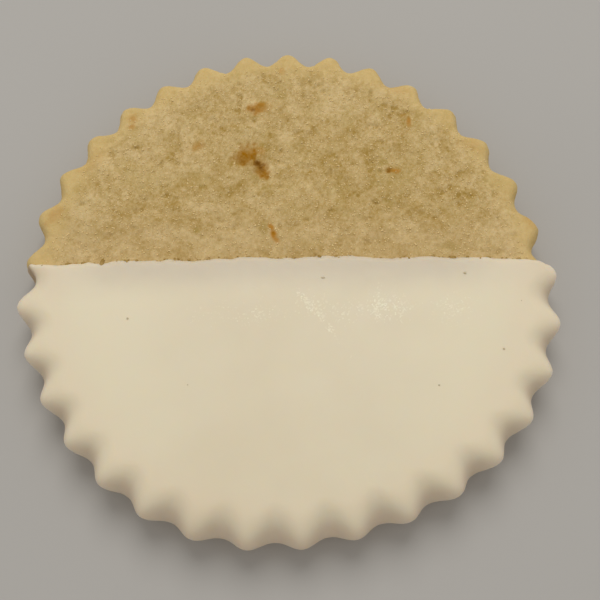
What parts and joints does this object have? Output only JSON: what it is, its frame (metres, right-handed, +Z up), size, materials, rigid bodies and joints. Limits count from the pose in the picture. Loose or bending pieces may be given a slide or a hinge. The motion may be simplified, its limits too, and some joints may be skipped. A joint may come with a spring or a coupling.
{
  "type": "dipped shortbread biscuit",
  "caption": "Round golden shortbread biscuit with a fluted edge, dipped a little more than half way into smooth pale icing.",
  "frame": {"origin": "middle of the round at the level of the surface it lies on, under the icing's flat underside", "axes": "+Z up through the thickness, +Y towards the middle of the bare half, +X along the line where the icing ends"},
  "size_m": [0.0613, 0.0599, 0.007],
  "materials": {
    "baked_crumb": "matte",
    "pale_icing": "satin"
  },
  "bodies": {
    "root": {"biscuit": "baked_crumb", "icing": "pale_icing"}
  },
  "joints": []
}
